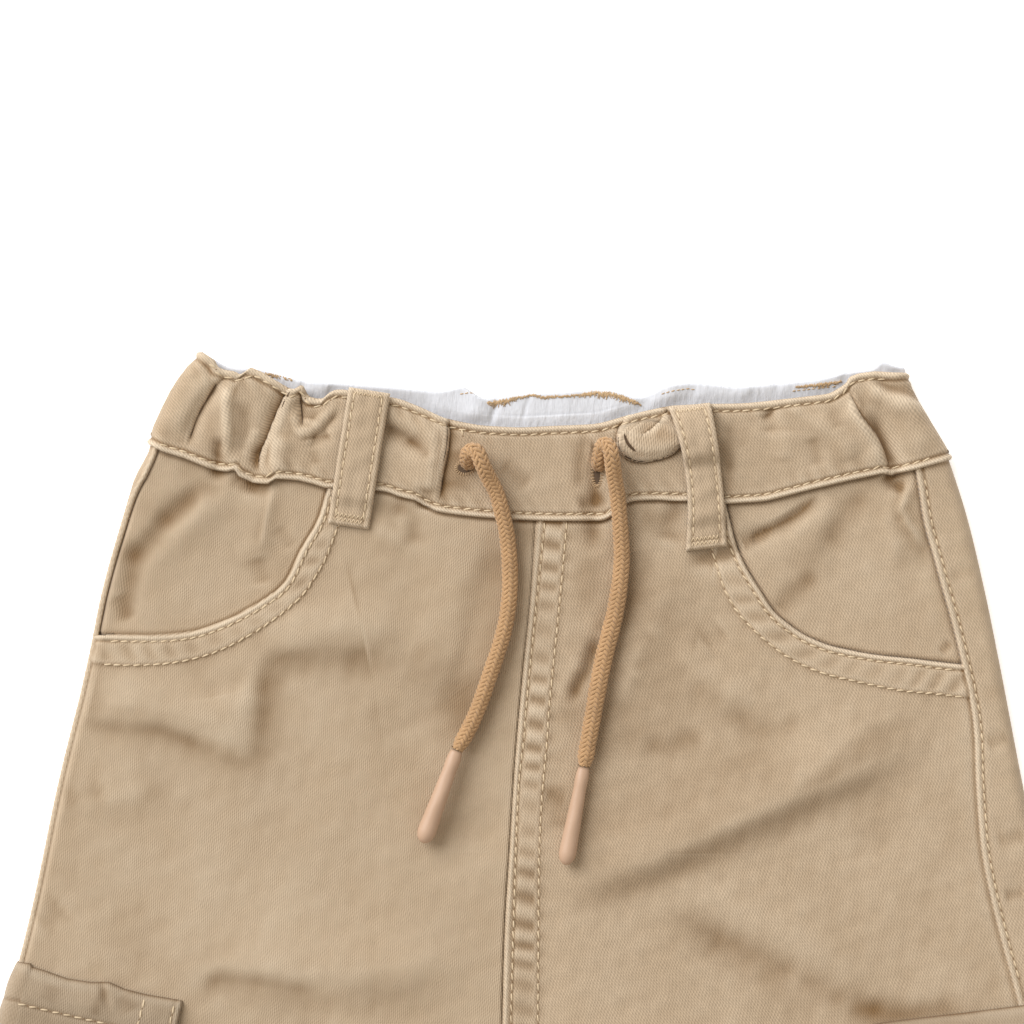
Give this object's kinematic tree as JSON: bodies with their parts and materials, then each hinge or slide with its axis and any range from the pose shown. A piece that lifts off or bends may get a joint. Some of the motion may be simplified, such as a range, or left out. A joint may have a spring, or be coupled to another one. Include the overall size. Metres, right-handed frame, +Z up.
{
  "type": "cargo trousers",
  "caption": "Small child's cotton cargo trousers laid flat, with a gathered waist, mock fly, drawcord with moulded tips, curved hip pockets and side flap pockets.",
  "frame": {"origin": "On the table under the middle of the outline: the bottom centre of the bounding box", "axes": "+X to the right of someone who looks down on the front, +Y from the hems to the waist, +Z up from the table"},
  "size_m": [0.3796, 0.4999, 0.0192],
  "materials": {
    "khaki_twill": "matt washed cotton twill, paler along the seams",
    "white_cotton": "matt white cotton with fine ribs",
    "tan_braid": "soft round cotton braid",
    "tan_silicone": "smooth matt moulding"
  },
  "bodies": {
    "root": {"front_leg_left": "khaki_twill", "front_leg_right": "khaki_twill", "back_leg_left": "khaki_twill", "back_leg_right": "khaki_twill", "pocket_facing_left": "khaki_twill", "pocket_facing_right": "khaki_twill", "cargo_pocket_left": "khaki_twill", "cargo_pocket_right": "khaki_twill", "cargo_flap_left": "khaki_twill", "cargo_flap_right": "khaki_twill", "waistband_front": "khaki_twill", "waistband_back": "khaki_twill", "waist_facing": "white_cotton", "belt_loop_left": "khaki_twill", "belt_loop_right": "khaki_twill", "drawcord_left": "tan_braid", "drawcord_right": "tan_braid", "cord_tip_left": "tan_silicone", "cord_tip_right": "tan_silicone"}
  },
  "joints": []
}
